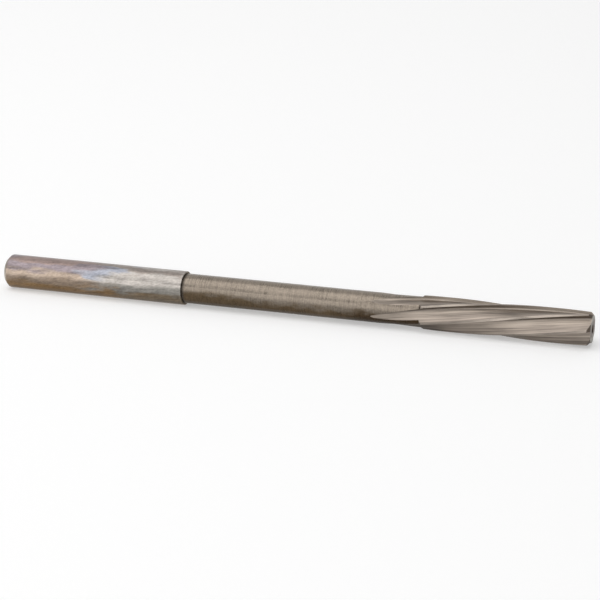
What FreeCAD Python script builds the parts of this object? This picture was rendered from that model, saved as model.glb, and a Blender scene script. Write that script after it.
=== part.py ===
import FreeCAD, Part
import math
import os

# Straight-shank machine reamer, one piece of high-speed steel, in millimetres.
# It lies along X: the shank end is at -X, the cutting end at +X, and the shank rests on Z = 0.

# Blank
overall_length = 80.0
shank_diameter = 4.5
shank_length = 25.9
shank_end_chamfer = 0.5
shoulder_edge_break = 0.08
neck_diameter = 3.95

# Cutting part
cutting_diameter = 4.4
cutting_length = 21.6       # from the front to where the full cutting diameter ends
lead_chamfer = 0.42         # 45 degrees, does the cutting
back_bevel_length = 0.8     # cutting diameter down to the neck

# Centre holes, 60 degrees, one in each end
centre_mouth_diameter = 1.2
centre_pilot_diameter = 0.5
centre_pilot_depth = 1.5
centre_cone_angle = 60.0
drill_point_angle = 118.0

# Teeth: left-hand helix, right-hand cutting, each cutting face radial
tooth_count = 6
helix_angle = 9.8           # at the cutting diameter
first_edge_turn = -6.8      # of a cutting edge from the horizontal at the front face, degrees
margin_width = 0.30         # circular land left behind each cutting edge
relief_angle = 38.0         # of the ground land behind the margin
land_width = 0.82           # from the margin to the heel
flute_angle = 97.0          # between the cutting face and the back of the flute
gullet_radius = 0.22

# Flute run-out: the grinding wheel climbs out of the neck on its own radius
flute_full_length = 20.4    # from the front to where the wheel starts to leave
wheel_radius = 93.0
wheel_swivel = 11.5         # direction of the run-out on the neck
wheel_tilt = 20.0           # of the wheel's own radius from the cutting face
swivel_blend = 1.0          # length over which the helix turns into the run-out

# Cutter bodies used for the flutes reach past the steel by these amounts
cutter_overhang = 0.35
front_overrun = 1.0
station_turn = 7.0          # greatest turn between two sections of a cutter, degrees

shank_radius = shank_diameter / 2
neck_radius = neck_diameter / 2
cutting_radius = cutting_diameter / 2
shank_end = -overall_length / 2
front_end = overall_length / 2
pitch = 360.0 / tooth_count
axis_height = shank_radius


def cone_depth(diameter, inner_diameter, angle):
    """Axial depth of a cone of the given full angle between two diameters."""
    return (diameter - inner_diameter) / 2 / math.tan(math.radians(angle / 2))


def blank():
    """The turned and ground blank, a revolved half section about X."""
    shoulder = shank_end + shank_length
    cut_start = front_end - cutting_length
    outline = [
        (shank_end, 0.0),
        (shank_end, shank_radius - shank_end_chamfer),
        (shank_end + shank_end_chamfer, shank_radius),
        (shoulder - shoulder_edge_break, shank_radius),
        (shoulder, shank_radius - shoulder_edge_break),
        (shoulder, neck_radius),
        (cut_start - back_bevel_length, neck_radius),
        (cut_start, cutting_radius),
        (front_end - lead_chamfer, cutting_radius),
        (front_end, cutting_radius - lead_chamfer),
        (front_end, 0.0),
    ]
    points = [FreeCAD.Vector(x, r, 0) for x, r in outline]
    face = Part.Face(Part.makePolygon(points + points[:1]))
    return face.revolve(FreeCAD.Vector(0, 0, 0), FreeCAD.Vector(1, 0, 0), 360)


def centre_hole(end, inward):
    """Centre drill shape: a 60 degree seat, a pilot and the pilot's point."""
    mouth = centre_mouth_diameter / 2
    pilot = centre_pilot_diameter / 2
    seat = cone_depth(centre_mouth_diameter, centre_pilot_diameter, centre_cone_angle)
    point = cone_depth(centre_pilot_diameter, 0, drill_point_angle)
    outline = [
        (0.0, 0.0),
        (0.0, mouth),
        (seat, pilot),
        (seat + centre_pilot_depth, pilot),
        (seat + centre_pilot_depth + point, 0.0),
    ]
    points = [FreeCAD.Vector(end + inward * depth, r, 0) for depth, r in outline]
    face = Part.Face(Part.makePolygon(points + points[:1]))
    return face.revolve(FreeCAD.Vector(0, 0, 0), FreeCAD.Vector(1, 0, 0), 360)


def helix_rate():
    """Turn of the helix in degrees per millimetre along the axis."""
    return math.degrees(math.tan(math.radians(helix_angle)) / cutting_radius)


def run_out_rate():
    """Turn of the wheel's track across the neck in degrees per millimetre."""
    return math.degrees(math.tan(math.radians(wheel_swivel)) / neck_radius)


def run_out_distance(x):
    """Distance of a section behind the place where the wheel starts to leave."""
    return max(0.0, front_end - flute_full_length - x)


def edge_angle(x):
    """Angle of the first cutting edge about the axis at a section, in degrees."""
    beyond = run_out_distance(x)
    blended = math.hypot(beyond, swivel_blend) - swivel_blend
    along_helix = first_edge_turn + helix_rate() * (front_end - x)
    return along_helix + (run_out_rate() - helix_rate()) * blended


def wheel_lift(x):
    """How far the wheel has climbed at a section."""
    beyond = run_out_distance(x)
    return wheel_radius - math.sqrt(wheel_radius ** 2 - beyond ** 2)


def flute_points():
    """Section of one flute with its edge on U: the face, gullet, back, heel and relieved land."""
    margin_angle = math.degrees(margin_width / cutting_radius)
    rear = math.radians(pitch - margin_angle)
    slope = math.radians(relief_angle)
    margin_rear = (cutting_radius * math.cos(rear), cutting_radius * math.sin(rear))
    land = (
        math.cos(slope) * math.sin(rear) - math.sin(slope) * math.cos(rear),
        -math.cos(slope) * math.cos(rear) - math.sin(slope) * math.sin(rear),
    )
    heel = (margin_rear[0] + land_width * land[0], margin_rear[1] + land_width * land[1])
    opening = math.radians(flute_angle)
    root = heel[0] - heel[1] / math.tan(opening)
    reach = gullet_radius / math.tan(opening / 2)
    half = opening / 2
    to_centre = gullet_radius / math.sin(half)
    centre = (root + to_centre * math.cos(half), to_centre * math.sin(half))
    return {
        "face_top": (cutting_radius * (1 + cutter_overhang), 0.0),
        "face_foot": (root + reach, 0.0),
        "gullet": (centre[0] - gullet_radius * math.cos(half), centre[1] - gullet_radius * math.sin(half)),
        "back_foot": (root + reach * math.cos(opening), reach * math.sin(opening)),
        "heel": heel,
        "land_top": (
            margin_rear[0] - cutter_overhang * cutting_radius * land[0],
            margin_rear[1] - cutter_overhang * cutting_radius * land[1],
        ),
    }


def flute_section(x, profile):
    """Wire of the flute's section at a station, turned to the helix and lifted with the wheel."""
    turn = math.radians(edge_angle(x))
    tilt = math.radians(wheel_tilt)
    lift = wheel_lift(x)

    def place(name):
        u = profile[name][0] + lift * math.cos(tilt)
        v = profile[name][1] + lift * math.sin(tilt)
        return FreeCAD.Vector(
            x,
            u * math.cos(turn) - v * math.sin(turn),
            u * math.sin(turn) + v * math.cos(turn),
        )

    return Part.Wire([
        Part.LineSegment(place("face_top"), place("face_foot")).toShape(),
        Part.Arc(place("face_foot"), place("gullet"), place("back_foot")).toShape(),
        Part.LineSegment(place("back_foot"), place("heel")).toShape(),
        Part.LineSegment(place("heel"), place("land_top")).toShape(),
        Part.LineSegment(place("land_top"), place("face_top")).toShape(),
    ])


def stations(start, end):
    """Evenly spaced sections from one place to another, close enough for the helix's turn."""
    count = max(3, math.ceil(abs(edge_angle(end) - edge_angle(start)) / station_turn))
    return [start + (end - start) * i / count for i in range(count + 1)]


def run_out_length(profile):
    """Distance over which the wheel clears the neck completely."""
    depth = neck_radius - min(math.hypot(*point) for point in profile.values())
    climb = 1.3 * max(depth, gullet_radius)
    return math.sqrt(2 * wheel_radius * climb)


def flute_cutter():
    """Body removed by the wheel for one flute, full depth and run-out in one smooth loft."""
    profile = flute_points()
    full_end = front_end - flute_full_length
    places = stations(front_end + front_overrun, full_end)
    places += stations(full_end, full_end - run_out_length(profile))[1:]
    wires = [flute_section(x, profile) for x in places]
    return Part.makeLoft(wires, True, False)


def reamer():
    """The finished tool, lifted so that its shank rests on Z = 0."""
    body = blank()
    cutter = flute_cutter()
    for i in range(tooth_count):
        turned = cutter.copy()
        turned.rotate(FreeCAD.Vector(0, 0, 0), FreeCAD.Vector(1, 0, 0), i * pitch)
        body = body.cut(turned)
    body = body.cut(centre_hole(shank_end, 1))
    body = body.cut(centre_hole(front_end, -1))
    body.translate(FreeCAD.Vector(0, 0, axis_height))
    return body


os.makedirs("parts", exist_ok=True)
solid = reamer()
solid.exportStep("parts/reamer.step")
print("reamer", solid.isValid(), len(solid.Solids), round(solid.Volume, 2), "mm3", solid.BoundBox)
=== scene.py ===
import bpy
import numpy as np
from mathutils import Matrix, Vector


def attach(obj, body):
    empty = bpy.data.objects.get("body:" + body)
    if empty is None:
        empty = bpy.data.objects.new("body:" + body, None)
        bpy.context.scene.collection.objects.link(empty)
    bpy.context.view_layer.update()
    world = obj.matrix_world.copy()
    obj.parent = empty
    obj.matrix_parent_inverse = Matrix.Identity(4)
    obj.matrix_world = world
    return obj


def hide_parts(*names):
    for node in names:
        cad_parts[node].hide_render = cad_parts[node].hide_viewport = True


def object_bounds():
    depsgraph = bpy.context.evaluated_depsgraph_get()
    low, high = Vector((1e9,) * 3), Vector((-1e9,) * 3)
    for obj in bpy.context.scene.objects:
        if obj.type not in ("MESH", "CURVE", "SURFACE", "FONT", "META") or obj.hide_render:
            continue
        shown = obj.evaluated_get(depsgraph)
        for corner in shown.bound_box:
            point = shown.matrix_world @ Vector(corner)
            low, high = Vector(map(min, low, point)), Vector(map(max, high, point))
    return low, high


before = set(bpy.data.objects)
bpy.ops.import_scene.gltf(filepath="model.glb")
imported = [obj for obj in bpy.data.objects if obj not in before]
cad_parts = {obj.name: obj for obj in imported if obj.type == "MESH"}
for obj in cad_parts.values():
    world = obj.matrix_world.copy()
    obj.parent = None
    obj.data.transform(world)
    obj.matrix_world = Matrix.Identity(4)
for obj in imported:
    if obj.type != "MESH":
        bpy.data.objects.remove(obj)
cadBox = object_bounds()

# Settings are in millimetres and degrees. X runs along the reamer, and heights are measured from its axis.
mm = 0.001
lowCorner, highCorner = [np.array(corner, dtype=float) for corner in cadBox]
shankEnd = lowCorner[0] / mm                       # the plain end, at the left
frontEnd = highCorner[0] / mm                      # the cutting end, at the right
axisHeight = (highCorner[2] + lowCorner[2]) / 2 / mm

blankSettings = {
    "shankRadius": 2.25,
    "shankLength": 25.9,
    "endChamfer": 0.5,
    "endRounding": 0.10,         # where the chamfer meets the shank and the end face
    "shoulderBreak": 0.08,       # the edge of the shank at the shoulder
    "neckRadius": 1.975,
    "cuttingRadius": 2.2,
    "cuttingLength": 21.6,
    "leadChamfer": 0.42,         # at 45 degrees, round the front
    "backBevel": 0.25,           # the length over which the neck rises to the cutting radius
}
shoulder = shankEnd + blankSettings["shankLength"]
cutStart = frontEnd - blankSettings["cuttingLength"]
bevelStart = cutStart - blankSettings["backBevel"]
leadStart = frontEnd - blankSettings["leadChamfer"]

centreSettings = {
    "mouthRadius": 0.6,
    "pilotRadius": 0.25,
    "seatHalfAngle": 30.0,
    "pilotDepth": 1.5,
    "pointHalfAngle": 59.0,
    "cornerRow": 0.02,           # extra rows this far from the corners keep their shading crisp
}

toothSettings = {
    "count": 6,
    "helixAngle": 9.8,
    "firstEdgeTurn": -6.8,       # turn of the first cutting edge at the front
    "marginWidth": 0.30,
    "reliefAngle": 38.0,
    "landWidth": 0.82,
    "fluteAngle": 97.0,          # between the radial face and the flat back
    "gulletRadius": 0.22,
    "fullLength": 20.4,          # from the front to where the wheel starts to leave
    "wheelRadius": 93.0,
    "wheelSwivel": 11.5,         # takes the helix angle's place in the run-out
    "wheelTilt": 20.0,           # direction in which the wheel climbs, from the radial face
    "swivelBlend": 1.0,          # about the length over which the swivel sets in
    "runOutLength": 10.5,
}
helixRate = np.tan(np.radians(toothSettings["helixAngle"])) / blankSettings["cuttingRadius"]
fluteStart = frontEnd - toothSettings["fullLength"] - toothSettings["runOutLength"]

gridSettings = {
    "facePoints": 3,             # points round each tooth, part by part
    "gulletPoints": 8,
    "backPoints": 4,
    "landPoints": 6,
    "marginPoints": 6,
    "fluteStep": 0.15,           # between rows along the flutes
    "plainStep": 1.5,            # between rows of the shank and the plain neck
    "cornerPoints": 5,
    "frontFaceRows": 2,
    "sharpAngle": 14.0,          # an edge bent by more than this is shaded sharp
    "onBlank": 0.003,            # a point no deeper than this lies on the turned blank
    "tolerance": 1e-6,
}


def blankRadius(x):
    # radius of the turned blank at each x: neck, a short bevel, the cutting diameter, the lead chamfer
    b = blankSettings
    places = [shankEnd, bevelStart, cutStart, leadStart, frontEnd]
    radii = [b["neckRadius"], b["neckRadius"], b["cuttingRadius"], b["cuttingRadius"],
             b["cuttingRadius"] - b["leadChamfer"]]
    return np.interp(x, places, radii)


def edgeAngle(x):
    # turn of the first cutting edge: helix rate times distance from the front, plus the wheel's extra turn
    # in the run-out, which starts smoothly and stops where the wheel has cleared the neck
    t = toothSettings
    swivelRate = np.tan(np.radians(t["wheelSwivel"])) / blankSettings["neckRadius"]
    held = np.maximum(x, fluteStart)
    beyond = np.maximum(0, frontEnd - t["fullLength"] - held)
    blended = np.hypot(beyond, t["swivelBlend"]) - t["swivelBlend"]
    alongHelix = np.radians(t["firstEdgeTurn"]) + helixRate * (frontEnd - held)
    return alongHelix + (swivelRate - helixRate) * blended


def wheelLift(x):
    # climb of the wheel past its last full cut: its radius, less the root of its radius squared less the
    # distance squared, held to twice the run-out's length
    t = toothSettings
    beyond = np.clip(frontEnd - t["fullLength"] - x, 0, t["runOutLength"] * 2)
    return t["wheelRadius"] - np.sqrt(t["wheelRadius"] ** 2 - beyond ** 2)


def lineToCircle(px, py, dx, dy, r):
    # distance from an inner point p in direction d to the circle of radius r about the axis: less p's part
    # along d, plus the root of that part squared plus r squared less p's distance squared
    along = px * dx + py * dy
    return -along + np.sqrt(np.maximum(0, along ** 2 + r ** 2 - px ** 2 - py ** 2))


def fluteSections(x):
    # One tooth pitch of the section at every x, from the cutting edge round to the next one, as rows of
    # points: down the radial face, round the gullet, up the back to the heel, over the relieved land to the
    # margin, and round the margin on the blank's circle. The wheel's lift slides all of it outwards.
    t = toothSettings
    b = blankSettings
    points = gridSettings
    pitch = 2 * np.pi / t["count"]
    rear = pitch - t["marginWidth"] / b["cuttingRadius"]
    slope = np.radians(t["reliefAngle"])
    opening = np.radians(t["fluteAngle"])
    g = t["gulletRadius"]
    landX = np.cos(slope) * np.sin(rear) - np.sin(slope) * np.cos(rear)
    landY = -np.cos(slope) * np.cos(rear) - np.sin(slope) * np.sin(rear)
    heelX = b["cuttingRadius"] * np.cos(rear) + t["landWidth"] * landX
    heelY = b["cuttingRadius"] * np.sin(rear) + t["landWidth"] * landY
    root = heelX - heelY / np.tan(opening)
    lift = wheelLift(x)
    shiftX = lift * np.cos(np.radians(t["wheelTilt"]))
    shiftY = lift * np.sin(np.radians(t["wheelTilt"]))
    r = blankRadius(x)

    centreX = root + g / np.tan(opening / 2) + shiftX
    centreY = g + shiftY
    centreLength = np.hypot(centreX, centreY)
    centreAngle = np.arctan2(centreY, centreX)
    crossing = np.arccos(np.clip((r ** 2 - centreLength ** 2 - g ** 2) / (2 * centreLength * g), -1, 1))
    arcStart = np.minimum(1.5 * np.pi, centreAngle + 2 * np.pi - crossing)
    arcEnd = np.maximum(opening + np.pi / 2, centreAngle + crossing)
    arc = arcStart[:, None] + (arcEnd - arcStart)[:, None] * np.linspace(0, 1, points["gulletPoints"])
    gulletX = centreX[:, None] + g * np.cos(arc)
    gulletY = centreY[:, None] + g * np.sin(arc)

    footX, footY = gulletX[:, 0], gulletY[:, 0]
    top = np.where(np.hypot(footX, footY) < r, lineToCircle(footX, footY, 1.0, 0.0, r), 0)
    down = np.linspace(1, 0, points["facePoints"] + 1)[:-1]
    faceX = footX[:, None] + top[:, None] * down
    faceY = np.repeat(footY[:, None], len(down), axis=1)

    backX, backY = gulletX[:, -1], gulletY[:, -1]
    toHeel = np.hypot(heelX + shiftX - backX, heelY + shiftY - backY)
    inside = np.hypot(backX, backY) < r
    rise = np.minimum(toHeel, lineToCircle(backX, backY, np.cos(opening), np.sin(opening), r))
    rise = np.where(inside, rise, 0)
    up = np.linspace(0, 1, points["backPoints"] + 1)[1:]
    slopeX = backX[:, None] + rise[:, None] * np.cos(opening) * up
    slopeY = backY[:, None] + rise[:, None] * np.sin(opening) * up

    crestX, crestY = slopeX[:, -1], slopeY[:, -1]
    reached = inside & (np.hypot(crestX, crestY) < r - points["tolerance"])
    width = np.where(reached, lineToCircle(crestX, crestY, -landX, -landY, r), 0)
    over = np.linspace(0, 1, points["landPoints"] + 1)[1:]
    reliefX = crestX[:, None] - width[:, None] * landX * over
    reliefY = crestY[:, None] - width[:, None] * landY * over

    sectionX = np.concatenate([faceX, gulletX, slopeX, reliefX], axis=1)
    sectionY = np.concatenate([faceY, gulletY, slopeY, reliefY], axis=1)
    radius = np.minimum(np.hypot(sectionX, sectionY), r[:, None])
    angle = np.arctan2(sectionY, sectionX)
    last = angle[:, -1]
    around = np.linspace(0, 1, points["marginPoints"] + 1)[1:-1]
    marginAngle = last[:, None] + (pitch + angle[:, 0] - last)[:, None] * around
    radius = np.concatenate([radius, np.repeat(r[:, None], len(around), axis=1)], axis=1)
    angle = np.concatenate([angle, marginAngle], axis=1)
    return radius, angle


def wholeSections(x):
    # every tooth in turn, each a pitch further round, all turned by the cutting edge's angle at that x
    count = toothSettings["count"]
    radius, angle = fluteSections(x)
    turns = np.arange(count) * 2 * np.pi / count
    angles = np.concatenate([angle + turn for turn in turns], axis=1)
    return np.tile(radius, (1, count)), angles + edgeAngle(x)[:, None]


def evenly(start, end, step):
    # equal steps from start to end, none of them longer than step
    return np.linspace(start, end, max(2, int(np.ceil(abs(end - start) / step)) + 1))


def roundedCorner(before, corner, after, size):
    # a quadratic curve that cuts a corner of the half outline, starting and ending at that size from it
    before, corner, after = map(np.array, (before, corner, after))
    start = corner + (before - corner) * size / np.linalg.norm(before - corner)
    end = corner + (after - corner) * size / np.linalg.norm(after - corner)
    s = np.linspace(0, 1, gridSettings["cornerPoints"])[:, None]
    return start * (1 - s) ** 2 + 2 * corner * s * (1 - s) + end * s ** 2


def centreOutline(end, inward):
    # Half outline of a centre hole from its point out to its mouth: a drilled point, a straight pilot and a
    # conical seat. A cone's depth is its change of radius over the tangent of its half angle.
    c = centreSettings
    pilot, mouth, row = c["pilotRadius"], c["mouthRadius"], c["cornerRow"]
    seat = (mouth - pilot) / np.tan(np.radians(c["seatHalfAngle"]))
    deep = seat + c["pilotDepth"]
    point = deep + pilot / np.tan(np.radians(c["pointHalfAngle"]))
    widening = row * (mouth - pilot) / seat
    depths = np.array([point, deep, deep - row, seat + row, seat, seat - row, row, 0.0])
    radii = np.array([0.0, pilot, pilot, pilot, pilot, pilot + widening, mouth - widening, mouth])
    return np.stack([end + inward * depths, radii], axis=1)


def plainOutline():
    # half outline of the plain end up to the start of the fluted rows, as rows of x and radius
    b = blankSettings
    start = (shankEnd, centreSettings["mouthRadius"])
    low = (shankEnd, b["shankRadius"] - b["endChamfer"])
    high = (shankEnd + b["endChamfer"], b["shankRadius"])
    edge = (shoulder, b["shankRadius"])
    foot = (shoulder, b["neckRadius"])
    step = gridSettings["plainStep"]
    shank = evenly(high[0] + b["endRounding"], shoulder - b["shoulderBreak"], step)[1:-1]
    neck = evenly(shoulder, fluteStart, step)[:-1]
    return np.concatenate([
        centreOutline(shankEnd, 1),
        roundedCorner(start, low, high, b["endRounding"]),
        roundedCorner(low, high, edge, b["endRounding"]),
        np.stack([shank, np.full(len(shank), b["shankRadius"])], axis=1),
        roundedCorner(high, edge, foot, b["shoulderBreak"]),
        np.stack([neck, np.full(len(neck), b["neckRadius"])], axis=1),
    ])


def fluteRows():
    # x of the rows that carry the flute section, with a row at each end of the bevel and the chamfer
    corners = [fluteStart, bevelStart, cutStart, leadStart, frontEnd]
    rows = [evenly(start, end, gridSettings["fluteStep"])[:-1] for start, end in zip(corners, corners[1:])]
    return np.concatenate(rows + [np.array([frontEnd])])


def surfaceGrid():
    # Rows along the outline from the point of one centre hole to the point of the other, columns round the
    # axis. Plain rows are circles at the angles of the nearest fluted row, so the grid doesn't twist.
    rowsX = fluteRows()
    fluteRadius, fluteAngle = wholeSections(rowsX)
    columns = fluteRadius.shape[1]
    plain = plainOutline()
    hole = centreOutline(frontEnd, -1)[::-1]
    inwards = np.linspace(0, 1, gridSettings["frontFaceRows"] + 2)[1:-1, None]
    faceRadius = fluteRadius[-1] * (1 - inwards) + centreSettings["mouthRadius"] * inwards
    x = np.concatenate([plain[:, 0], rowsX, np.full(len(inwards), frontEnd), hole[:, 0]])
    radius = np.concatenate([
        np.repeat(plain[:, 1:], columns, axis=1), fluteRadius, faceRadius,
        np.repeat(hole[:, 1:], columns, axis=1)])
    angle = np.concatenate([
        np.repeat(fluteAngle[:1], len(plain), axis=0), fluteAngle,
        np.repeat(fluteAngle[-1:], len(inwards) + len(hole), axis=0)])
    return x, radius, angle


def closedSurface(points):
    # quads between the grid's rows and columns, and a fan of triangles round the single point at each end
    rows, columns = points.shape[0] - 2, points.shape[1]
    vertices = np.concatenate([points[1:-1].reshape(-1, 3), points[[0, -1], 0]])
    index = np.arange(rows * columns).reshape(rows, columns)
    nextIndex = np.roll(index, -1, axis=1)
    quads = np.stack([index[:-1], index[1:], nextIndex[1:], nextIndex[:-1]], axis=2).reshape(-1, 4)
    firstPole, lastPole = rows * columns, rows * columns + 1
    firstFan = np.stack([np.full(columns, firstPole), index[0], nextIndex[0]], axis=1)
    lastFan = np.stack([np.full(columns, lastPole), nextIndex[-1], index[-1]], axis=1)
    return vertices.tolist(), quads.tolist() + firstFan.tolist() + lastFan.tolist()


def finishZones(x, radius):
    # Which finish each quad of the grid has: by its place along the reamer, by its column in the tooth, by
    # whether all its corners still lie on the turned blank, and by its radius on the faces across the axis.
    g = gridSettings
    number = {finish: position for position, finish in enumerate(finishNames)}
    place = (x[:-1] + x[1:]) / 2
    outer = np.maximum(radius[:-1], radius[1:]).max(axis=1)
    turned = np.where((x > fluteStart) & (x < frontEnd), blankRadius(x), 0)
    toothColumns = np.repeat(
        [number[finish] for finish in ("shadedFaceSteel", "fluteSteel", "fluteSteel", "landSteel", "marginSteel")],
        [g["facePoints"], g["gulletPoints"] - 1, g["backPoints"], g["landPoints"], g["marginPoints"]])
    columns = np.tile(toothColumns, toothSettings["count"])
    onBlank = radius > turned[:, None] - g["onBlank"]
    onBlank = onBlank & np.roll(onBlank, -1, axis=1)
    onBlank = onBlank[:-1] & onBlank[1:]
    ground = (place > fluteStart)[:, None] & (~onBlank | (place > bevelStart)[:, None])
    zones = np.full((len(place), radius.shape[1]), number["neckSteel"])
    zones[place < shoulder] = number["shankSteel"]
    zones = np.where(ground, columns[None], zones)
    # painted shade on the slanted bevel and lead chamfer
    slanted = ((place > bevelStart) & (place < cutStart)) | (place > leadStart)
    zones = np.where(slanted[:, None] & onBlank, number["shadedLeadSteel"], zones)
    flat = np.abs(np.diff(x)) < g["tolerance"]
    zones[flat] = number["endSteel"]
    zones[flat & (np.abs(place - shoulder) < g["tolerance"])] = number["shoulderSteel"]
    zones[outer < centreSettings["mouthRadius"] + g["tolerance"]] = number["shadedSeatSteel"]
    zones[outer < centreSettings["pilotRadius"] + g["tolerance"]] = number["shadedBoreSteel"]
    return zones


def buildReamer():
    # the grid's points round the axis: x, radius times the angle's cosine, and height by its sine
    print("reamer: surface grid")
    x, radius, angle = surfaceGrid()
    along = np.repeat(x[:, None], radius.shape[1], axis=1)
    points = np.stack([along, radius * np.cos(angle), axisHeight + radius * np.sin(angle)], axis=2) * mm
    vertices, faces = closedSurface(points)
    mesh = bpy.data.meshes.new("reamerBody")
    mesh.from_pydata(vertices, [], faces)
    piece = bpy.data.objects.new("reamerBody", mesh)
    bpy.context.scene.collection.objects.link(piece)
    zones = finishZones(x[1:-1], radius[1:-1]).reshape(-1)
    fans = np.full(radius.shape[1] * 2, finishNames.index("shadedBoreSteel"))
    mesh.polygons.foreach_set("material_index", np.concatenate([zones, fans]))
    mesh.polygons.foreach_set("use_smooth", np.ones(len(mesh.polygons), dtype=bool))
    mesh.set_sharp_from_angle(angle=np.radians(gridSettings["sharpAngle"]))
    return piece


def addNode(tree, kind, attributes=None, **inputs):
    # One node. Its inputs go by name, or as n and their number where names repeat: a value sets its socket,
    # and another node's output is linked to it.
    node = tree.nodes.new(kind)
    for key, value in (attributes or {}).items():
        setattr(node, key, value)
    for key, value in inputs.items():
        socket = node.inputs[int(key[1:])] if key[0] == "n" and key[1:].isdigit() else node.inputs[key]
        if isinstance(value, bpy.types.NodeSocket):
            tree.links.new(value, socket)
        else:
            socket.default_value = value
    return node


def axisCoordinates(tree):
    # object coordinates in millimetres, measured from the reamer's axis
    source = addNode(tree, "ShaderNodeTexCoord")
    mapping = addNode(tree, "ShaderNodeMapping", Vector=source.outputs["Object"],
                      Location=(0, 0, -axisHeight), Scale=(1 / mm, 1 / mm, 1 / mm))
    return mapping.outputs["Vector"]


def separated(tree, vector):
    # the X and Z of a vector, as two outputs
    parts = addNode(tree, "ShaderNodeSeparateXYZ", Vector=vector)
    return parts.outputs["X"], parts.outputs["Z"]


def unwoundCoordinates(tree, vector):
    # the same coordinates turned back by helix rate times X, so that a streak along X follows the flutes
    along, height = separated(tree, vector)
    turn = math(tree, "MULTIPLY", along, float(helixRate))
    unwound = addNode(tree, "ShaderNodeVectorRotate", {"rotation_type": "X_AXIS"}, Vector=vector, Angle=turn)
    return unwound.outputs["Vector"]


def stretchedNoise(tree, vector, scale, detail, place=(0, 0, 0)):
    # noise whose cells have their own length along each axis: scale is in cells per millimetre
    mapping = addNode(tree, "ShaderNodeMapping", Vector=vector, Scale=scale, Location=place)
    noise = addNode(tree, "ShaderNodeTexNoise", Vector=mapping.outputs["Vector"], Scale=1.0, Detail=detail)
    return noise.outputs["Fac"]


def mapped(tree, value, low, high, newLow=0.0, newHigh=1.0):
    # a smooth step from newLow to newHigh while the value goes from low to high
    node = addNode(tree, "ShaderNodeMapRange", {"interpolation_type": "SMOOTHSTEP"})
    tree.links.new(value, node.inputs["Value"])
    for key, number in (("From Min", low), ("From Max", high), ("To Min", newLow), ("To Max", newHigh)):
        node.inputs[key].default_value = number
    return node.outputs["Result"]


narrowNoise = (0.3, 0.7)         # ranges that hold most of a noise's values
wideNoise = (0.25, 0.75)


def wandering(tree, noise, reach, spread=narrowNoise):
    # a noise turned into a shift, from -reach to reach
    return mapped(tree, noise, *spread, -reach, reach)


def math(tree, operation, first, second):
    # one sum or product of two numbers
    return addNode(tree, "ShaderNodeMath", {"operation": operation}, n0=first, n1=second).outputs[0]


def mixed(tree, amount, first, second, blend="MIX"):
    # the first colour at amount 0 and the second at 1, or their product where blend is MULTIPLY
    node = tree.nodes.new("ShaderNodeMix")
    node.data_type = "RGBA"
    node.blend_type = blend
    for socket, value in ((node.inputs[0], amount), (node.inputs[6], first), (node.inputs[7], second)):
        if isinstance(value, bpy.types.NodeSocket):
            tree.links.new(value, socket)
        else:
            socket.default_value = value if isinstance(value, float) else (*value, 1)
    return node.outputs[2]


def layered(tree, height, colours):
    # the first colour, with each further one laid over it between its own two heights
    result = colours[0]
    for colour, start, end in colours[1:]:
        result = mixed(tree, mapped(tree, height, start, end), result, colour)
    return result


def times(colour, factor):
    # a colour times one number, or times three, channel by channel
    return tuple(np.array(colour) * np.array(factor))


shankSettings = {
    # Colours laid over one another, each further one with the heights between which it sets in. Tinted by
    # heat: straw, with lilac over its upper side, and painted shade in umber along its top and in tan and
    # bronze over its lower side.
    "tintedAndShaded": [(0.368, 0.293, 0.234),
               ((0.225, 0.190, 0.200), 0.75, 1.35),
               ((0.262, 0.200, 0.182), 1.75, 2.15),
               ((0.245, 0.190, 0.146), 0.55, 0.1),
               ((0.218, 0.140, 0.070), 0.0, -1.3)],
    # bare steel: silver, with painted shade in ash along the top and in grey and olive over its lower side
    "bareAndShaded": [(0.348, 0.321, 0.296),
             ((0.262, 0.228, 0.205), 1.75, 2.15),
             ((0.232, 0.220, 0.200), 0.45, 0.0),
             ((0.176, 0.138, 0.096), -0.5, -1.1)],
    "wander": {"scale": (0.16, 0.6, 0.6), "detail": 5.0, "place": (3, 1, 7)},
    "wanderHeight": 0.5,         # how far the borders wander up and down, and along
    "wanderAlong": 3.0,
    "tintFade": (-23.9, -29.1),  # X from which the tint sets in towards the plain end, and where it is full
    "lowerFade": (-0.3, -1.1),   # heights below which it reaches further, and by how much
    "lowerReach": 4.0,
    "blue": (0.262, 0.275, 0.318),
    "blueRise": (-29.6, -26.1),  # a pale blue patch where the tint ends: along X, then over the height
    "blueFall": (-21.1, -24.6),
    "blueBottom": (0.7, 1.2),
    "blueTop": (2.1, 1.7),
    "blueStrength": 0.9,
    # a painted highlight: the end chamfer paler, except low down
    "rimHighlight": (0.400, 0.345, 0.290),
    "rimHighlightFade": (0.62, 0.42),     # distance from the end, over the chamfer
    "rimHighlightHeights": (-1.0, -0.2),
    "rimHighlightStrength": 0.85,
    # a painted reflection: paler along the underside
    "soleReflection": (0.300, 0.240, 0.180),
    "soleReflectionHeights": (-1.75, -2.2),
}


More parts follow.
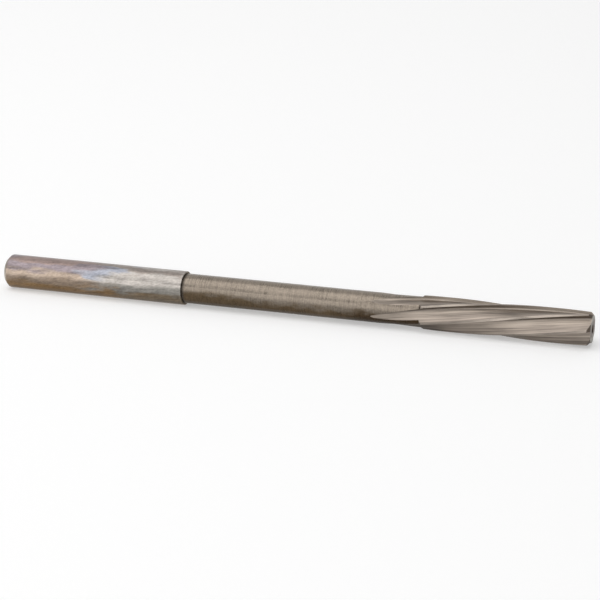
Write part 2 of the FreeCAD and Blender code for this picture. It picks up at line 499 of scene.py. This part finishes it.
def shankColour(tree, vector):
    # Bands of heat tint and painted shade by height, with wandering borders, giving way along the shank to
    # bare steel with its own painted shade, and a pale blue patch between. A painted highlight makes the
    # chamfer at the end paler, and a painted reflection the line along the underside.
    s = shankSettings
    along, height = separated(tree, vector)
    wander = stretchedNoise(tree, vector, **s["wander"])
    movedHeight = math(tree, "ADD", height, wandering(tree, wander, s["wanderHeight"]))
    movedAlong = math(tree, "ADD", along, wandering(tree, wander, s["wanderAlong"]))
    # the bands by height: heat tint, with painted shade along the top and over the lower side
    tintedAndShaded = layered(tree, movedHeight, s["tintedAndShaded"])
    bareAndShaded = layered(tree, movedHeight, s["bareAndShaded"])
    further = mapped(tree, movedHeight, *s["lowerFade"], 0.0, -s["lowerReach"])
    reach = mapped(tree, math(tree, "ADD", movedAlong, further), *s["tintFade"])
    blueLength = math(tree, "MULTIPLY", mapped(tree, movedAlong, *s["blueRise"]),
                      mapped(tree, movedAlong, *s["blueFall"]))
    blueHeight = math(tree, "MULTIPLY", mapped(tree, movedHeight, *s["blueBottom"], 0.0, s["blueStrength"]),
                      mapped(tree, movedHeight, *s["blueTop"]))
    blue = math(tree, "MULTIPLY", blueLength, blueHeight)
    coloured = mixed(tree, blue, mixed(tree, reach, bareAndShaded, tintedAndShaded), s["blue"])
    # painted highlight on the end chamfer, except low down
    rimHighlight = math(tree, "MULTIPLY", mapped(tree, along, *[shankEnd + distance for distance in s["rimHighlightFade"]]),
               mapped(tree, height, *s["rimHighlightHeights"], 0.0, s["rimHighlightStrength"]))
    coloured = mixed(tree, rimHighlight, coloured, s["rimHighlight"])
    # painted reflection along the underside
    return mixed(tree, mapped(tree, height, *s["soleReflectionHeights"]), coloured, s["soleReflection"])


neckSettings = {
    # each shade is a factor on the neck's own colour, with the heights or the X between which it sets in
    # a painted highlight: the crown lighter
    "crown": 1.12,
    "crownHeights": (0.3, 1.1),
    # painted shade in brown over the lower side, deeper near the flutes
    "lowerShade": (0.56, 0.47, 0.345),
    "lowerShadeHeights": (0.45, -0.85),
    "wander": {"scale": (0.5, 1.2, 1.2), "detail": 3.0, "place": (2, 7, 3)},
    "wanderHeight": 0.35,
    "slopeLength": 22.0,         # from the shoulder, and what is added to the height at its two ends
    "slope": (-0.25, 0.15),
    "deeperShade": (0.50, 0.46, 0.42),                 # a further factor, on the painted shade's colour
    "deeperShadeFade": (5.0, 12.0),
    # painted shade in the shoulder's corner
    "corner": 0.34,
    "cornerShadeFade": (0.50, 0.12),  # distance from the shoulder
}


def neckColour(tree, vector, colour):
    # The ground neck, with a painted highlight on its crown, brown painted shade on its lower side that is
    # darker near the flutes, and painted shade in the shoulder's corner.
    s = neckSettings
    along, height = separated(tree, vector)
    wander = stretchedNoise(tree, vector, **s["wander"])
    movedHeight = math(tree, "ADD", height, wandering(tree, wander, s["wanderHeight"]))
    slope = mapped(tree, along, shoulder, shoulder + s["slopeLength"], *s["slope"])
    # painted shade on the lower side, deeper towards the flutes
    lowerShade = mapped(tree, math(tree, "ADD", movedHeight, slope), *s["lowerShadeHeights"])
    # painted highlight on the crown
    bright = mixed(tree, mapped(tree, height, *s["crownHeights"]), colour, times(colour, s["crown"]))
    lowerShadeColour = times(colour, s["lowerShade"])
    lowerShaded = mixed(tree, lowerShade, bright, lowerShadeColour)
    deeperShade = math(tree, "MULTIPLY", lowerShade, mapped(tree, along, *s["deeperShadeFade"]))
    lowerShaded = mixed(tree, deeperShade, lowerShaded, times(lowerShadeColour, s["deeperShade"]))
    # painted shade in the shoulder's corner
    corner = mapped(tree, along, *[shoulder + distance for distance in s["cornerShadeFade"]])
    return mixed(tree, corner, lowerShaded, times(colour, s["corner"]))


fluteSettings = {
    # each shade is a factor on the flute's own colour
    # painted shade towards the bottom of the gullet
    "gullet": 0.92,
    "gulletShadeRadii": (1.56, 1.80),
    # painted shade on the lower side of the flutes' start
    "lowerShade": 0.55,
    "lowerShadeHeights": (-0.7, -1.6),
    "lowerShadeFade": (24.0, 18.0),    # X between which the painted shade sets in, away from the front
}


def fluteColour(tree, vector, colour):
    # painted shade towards the bottom of the gullet, by distance from the axis, and on the lower side of the
    # flutes' start
    s = fluteSettings
    flat = addNode(tree, "ShaderNodeVectorMath", {"operation": "MULTIPLY"}, n0=vector, n1=(0, 1, 1))
    distance = addNode(tree, "ShaderNodeVectorMath", {"operation": "LENGTH"}, n0=flat.outputs["Vector"])
    # painted shade towards the bottom of the gullet
    shallow = mapped(tree, distance.outputs["Value"], *s["gulletShadeRadii"])
    shaded = mixed(tree, shallow, times(colour, s["gullet"]), colour)
    along, height = separated(tree, vector)
    # painted shade on the lower side of the flutes' start
    lowerShade = math(tree, "MULTIPLY", mapped(tree, height, *s["lowerShadeHeights"]),
                mapped(tree, along, *s["lowerShadeFade"]))
    return mixed(tree, lowerShade, shaded, times(colour, s["lowerShade"]))


endSettings = {
    "stain": (0.150, 0.120, 0.102),
    "stainHeights": (0.8, 1.15),
    "wander": {"scale": (1.0, 1.6, 1.6), "detail": 4.0, "place": (4, 2, 6)},
    "wanderHeight": 0.2,
}


def endColour(tree, vector, colour):
    # an end face: a brown stain across its middle, by height above or below the axis, and cleaner steel
    s = endSettings
    height = separated(tree, vector)[1]
    wander = stretchedNoise(tree, vector, **s["wander"])
    fromAxis = math(tree, "ABSOLUTE", height, 0.0)
    edge = math(tree, "ADD", fromAxis, wandering(tree, wander, s["wanderHeight"]))
    return mixed(tree, mapped(tree, edge, *s["stainHeights"]), s["stain"], colour)


finishSettings = {
    # Colour of the metal, roughness range, wheel marks and finer grain in cells per millimetre, how much
    # each of the two changes the colour, and how strongly the marks stand out as relief. The shank's own
    # colour is in shankSettings. The darker colours of the cutting faces, the lead chamfer and back bevel,
    # and the centre holes are painted shade, not the metal's colour.
    "shankSteel": {"rough": (0.28, 0.42), "marks": (0.5, 2.2, 2.2), "contrast": 0.20,
                   "grain": (2.5, 6.0, 6.0), "grainContrast": 0.14, "bump": 0.06},
    "shoulderSteel": {"colour": (0.21, 0.165, 0.118), "rough": (0.45, 0.6), "marks": (2.0, 2.0, 2.0),
                      "contrast": 0.2, "grain": (6.0, 6.0, 6.0), "grainContrast": 0.10, "bump": 0.1},
    "neckSteel": {"colour": (0.185, 0.156, 0.127), "rough": (0.25, 0.38), "marks": (6.5, 0.5, 0.5),
                  "contrast": 0.18, "grain": (5.0, 5.0, 5.0), "grainContrast": 0.14, "bump": 0.08},
    "fluteSteel": {"colour": (0.260, 0.222, 0.188), "rough": (0.34, 0.48), "marks": (0.04, 2.3, 2.3),
                   "contrast": 0.38, "grain": (0.16, 6.0, 6.0), "grainContrast": 0.26, "bump": 0.2},
    # darker than the flutes: painted shade on the cutting faces
    "shadedFaceSteel": {"colour": (0.190, 0.160, 0.132), "rough": (0.34, 0.48), "marks": (0.08, 3.0, 3.0),
                  "contrast": 0.3, "grain": (0.16, 6.0, 6.0), "grainContrast": 0.20, "bump": 0.1},
    "landSteel": {"colour": (0.271, 0.230, 0.196), "rough": (0.36, 0.50), "marks": (0.04, 2.3, 2.3),
                  "contrast": 0.38, "grain": (0.16, 6.0, 6.0), "grainContrast": 0.26, "bump": 0.2},
    "marginSteel": {"colour": (0.275, 0.238, 0.205), "rough": (0.24, 0.36), "marks": (0.12, 4.0, 4.0),
                    "contrast": 0.22, "grain": (1.0, 8.0, 8.0), "grainContrast": 0.12, "bump": 0.05},
    # dark: painted shade on the lead chamfer and the back bevel
    "shadedLeadSteel": {"colour": (0.125, 0.100, 0.082), "rough": (0.34, 0.48), "marks": (2.5, 2.5, 2.5),
                  "contrast": 0.3, "grain": (7.0, 7.0, 7.0), "grainContrast": 0.12, "bump": 0.1},
    "endSteel": {"colour": (0.262, 0.246, 0.210), "rough": (0.36, 0.52), "marks": (2.2, 2.2, 2.2),
                 "contrast": 0.34, "grain": (7.0, 7.0, 7.0), "grainContrast": 0.14, "bump": 0.12},
    # dark: painted shade in the centre holes' seats
    "shadedSeatSteel": {"colour": (0.075, 0.058, 0.047), "rough": (0.36, 0.50), "marks": (3.0, 3.0, 3.0),
                  "contrast": 0.3, "grain": (7.0, 7.0, 7.0), "grainContrast": 0.14, "bump": 0.1},
    # darkest: painted shade in the centre holes' bores and points
    "shadedBoreSteel": {"colour": (0.035, 0.028, 0.020), "rough": (0.45, 0.6), "marks": (3.0, 3.0, 3.0),
                  "contrast": 0.2, "grain": (7.0, 7.0, 7.0), "grainContrast": 0.10, "bump": 0.1},
}
finishNames = list(finishSettings)

wearSettings = {
    # what all the finishes share: the detail of their noises, broad patches, and the height of the relief
    "marksDetail": 5.0,
    "grainDetail": 2.0,
    "grainPlace": (2, 8, 5),
    "patches": {"scale": (0.35, 0.9, 0.9), "detail": 3.0, "place": (9, 4, 6)},
    "patchContrast": 0.10,
    "reliefHeight": 0.02,
}


def finishColour(name, tree, vector):
    # the colour before marks: worked out for the shank, neck, flutes, lands and end faces, plain elsewhere
    colour = finishSettings[name].get("colour")
    if name == "shankSteel":
        return shankColour(tree, vector)
    if name == "neckSteel":
        return neckColour(tree, vector, colour)
    if name in ("fluteSteel", "landSteel"):
        return fluteColour(tree, vector, colour)
    if name == "endSteel":
        return endColour(tree, vector, colour)
    return colour


def steelMaterial(name):
    # The colour times a light: 1, plus the marks, the patches and the grain, each within its contrast.
    # Marks and patches together set the roughness, and the marks alone the relief.
    f = finishSettings[name]
    w = wearSettings
    material = bpy.data.materials.new(name)
    material.use_nodes = True
    tree = material.node_tree
    shader = tree.nodes["Principled BSDF"]
    vector = axisCoordinates(tree)
    colour = finishColour(name, tree, vector)
    streaked = f["marks"][0] < 1                   # marks longer than a millimetre are turned with the helix
    grain = unwoundCoordinates(tree, vector) if streaked else vector
    marks = stretchedNoise(tree, grain, f["marks"], w["marksDetail"])
    patches = stretchedNoise(tree, vector, **w["patches"])
    speckle = stretchedNoise(tree, grain, f["grain"], w["grainDetail"], w["grainPlace"])
    light = math(tree, "ADD", mapped(tree, marks, *wideNoise, 1 - f["contrast"], 1 + f["contrast"]),
                 wandering(tree, patches, w["patchContrast"], wideNoise))
    light = math(tree, "ADD", light, wandering(tree, speckle, f["grainContrast"]))
    grey = addNode(tree, "ShaderNodeCombineColor", Red=light, Green=light, Blue=light)
    tree.links.new(mixed(tree, 1.0, colour, grey.outputs["Color"], "MULTIPLY"), shader.inputs["Base Color"])
    average = math(tree, "MULTIPLY", math(tree, "ADD", marks, patches), 0.5)
    tree.links.new(mapped(tree, average, *narrowNoise, *f["rough"]), shader.inputs["Roughness"])
    shader.inputs["Metallic"].default_value = 1
    bump = addNode(tree, "ShaderNodeBump", Strength=f["bump"], Distance=w["reliefHeight"] * mm, Height=marks)
    tree.links.new(bump.outputs["Normal"], shader.inputs["Normal"])
    return material


reamer = buildReamer()
print("reamer: finishes")
for finish in finishNames:
    reamer.data.materials.append(steelMaterial(finish))
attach(reamer, "root")
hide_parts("reamer")


def outward(azimuth, elevation):
    # unit vector from the reamer: azimuth turns from its front side towards its cutting end, elevation lifts
    a, e = np.radians(azimuth), np.radians(elevation)
    return Vector((np.sin(a) * np.cos(e), -np.cos(a) * np.cos(e), np.sin(e)))


cameraSettings = {
    "azimuth": 18.2,
    "elevation": 17.9,
    "distance": 247.3,
    "aim": (1.75, 0.0, 2.19),
    "lens": 114.0,
    "sensor": 36.0,
    "nearest": 10.0,
}


def addCamera():
    # at its distance from the aim, looking back at it
    c = cameraSettings
    back = outward(c["azimuth"], c["elevation"])
    data = bpy.data.cameras.new("camera")
    data.lens = c["lens"]
    data.sensor_width = c["sensor"]
    data.clip_start = c["nearest"] * mm
    camera = bpy.data.objects.new("camera", data)
    camera.location = Vector(c["aim"]) * mm + back * c["distance"] * mm
    camera.rotation_euler = back.to_track_quat("Z", "Y").to_euler()
    bpy.context.scene.collection.objects.link(camera)
    bpy.context.scene.camera = camera


lampSettings = {
    # direction and distance from the reamer's middle, width and height, strength as radiance, shift along X
    "front": {"azimuth": 0, "elevation": 20, "distance": 600, "size": (1040, 440), "radiance": 1.47,
              "shift": -300},
    "top": {"azimuth": 0, "elevation": 76, "distance": 600, "size": (1040, 600), "radiance": 1.57,
            "shift": -300},
    "back": {"azimuth": 180, "elevation": 37, "distance": 600, "size": (1000, 800), "radiance": 0.55,
             "shift": -160},
}


def addLamp(name, lamp):
    # a soft box that faces the reamer: its power is radiance times pi times its area
    back = outward(lamp["azimuth"], lamp["elevation"])
    data = bpy.data.lights.new(name, "AREA")
    data.shape = "RECTANGLE"
    data.size, data.size_y = [side * mm for side in lamp["size"]]
    data.energy = lamp["radiance"] * np.pi * data.size * data.size_y
    lampObject = bpy.data.objects.new(name, data)
    lampObject.location = (back * lamp["distance"] + Vector((lamp["shift"], 0, 0))) * mm
    lampObject.rotation_euler = back.to_track_quat("Z", "Y").to_euler()
    bpy.context.scene.collection.objects.link(lampObject)


floorSettings = {
    "halfWidth": 3000,
    "colour": (0.66, 0.66, 0.66),
    "rough": 0.9,
    "glow": 0.36,                # added for the camera and for reflections only, so it lights nothing
}


def seenRays(tree):
    # 1 for rays from the camera and for reflected or transmitted ones, 0 for the rays that light surfaces
    path = addNode(tree, "ShaderNodeLightPath")
    mirrored = math(tree, "MAXIMUM", path.outputs["Is Glossy Ray"], path.outputs["Is Transmission Ray"])
    return math(tree, "MAXIMUM", path.outputs["Is Camera Ray"], mirrored)


def addFloor():
    # one square under the reamer, with its glow on the rays that are seen
    half = floorSettings["halfWidth"] * mm
    corners = [(-half, -half, 0), (half, -half, 0), (half, half, 0), (-half, half, 0)]
    mesh = bpy.data.meshes.new("floor")
    mesh.from_pydata(corners, [], [(0, 1, 2, 3)])
    floor = bpy.data.objects.new("floor", mesh)
    bpy.context.scene.collection.objects.link(floor)
    material = bpy.data.materials.new("paleFloor")
    material.use_nodes = True
    tree = material.node_tree
    shader = tree.nodes["Principled BSDF"]
    shader.inputs["Base Color"].default_value = (*floorSettings["colour"], 1)
    shader.inputs["Roughness"].default_value = floorSettings["rough"]
    shader.inputs["Emission Color"].default_value = (1, 1, 1, 1)
    glow = math(tree, "MULTIPLY", seenRays(tree), floorSettings["glow"])
    tree.links.new(glow, shader.inputs["Emission Strength"])
    mesh.materials.append(material)


worldSettings = {
    "light": 0.22,               # what it adds to the lamps
    "seen": 0.45,                # how pale the backdrop looks, by itself and in the steel
}


def setWorld():
    # white all round, at one strength for the rays that are seen and at another for the rest
    world = bpy.data.worlds.new("studio")
    bpy.context.scene.world = world
    world.use_nodes = True
    tree = world.node_tree
    background = tree.nodes["Background"]
    background.inputs["Color"].default_value = (1, 1, 1, 1)
    seen = math(tree, "MULTIPLY", seenRays(tree), worldSettings["seen"] - worldSettings["light"])
    tree.links.new(math(tree, "ADD", seen, worldSettings["light"]), background.inputs["Strength"])


print("camera, floor and lamps")
addCamera()
addFloor()
for lampName, lamp in lampSettings.items():
    addLamp(lampName, lamp)
setWorld()
bpy.context.scene.view_settings.view_transform = "Standard"
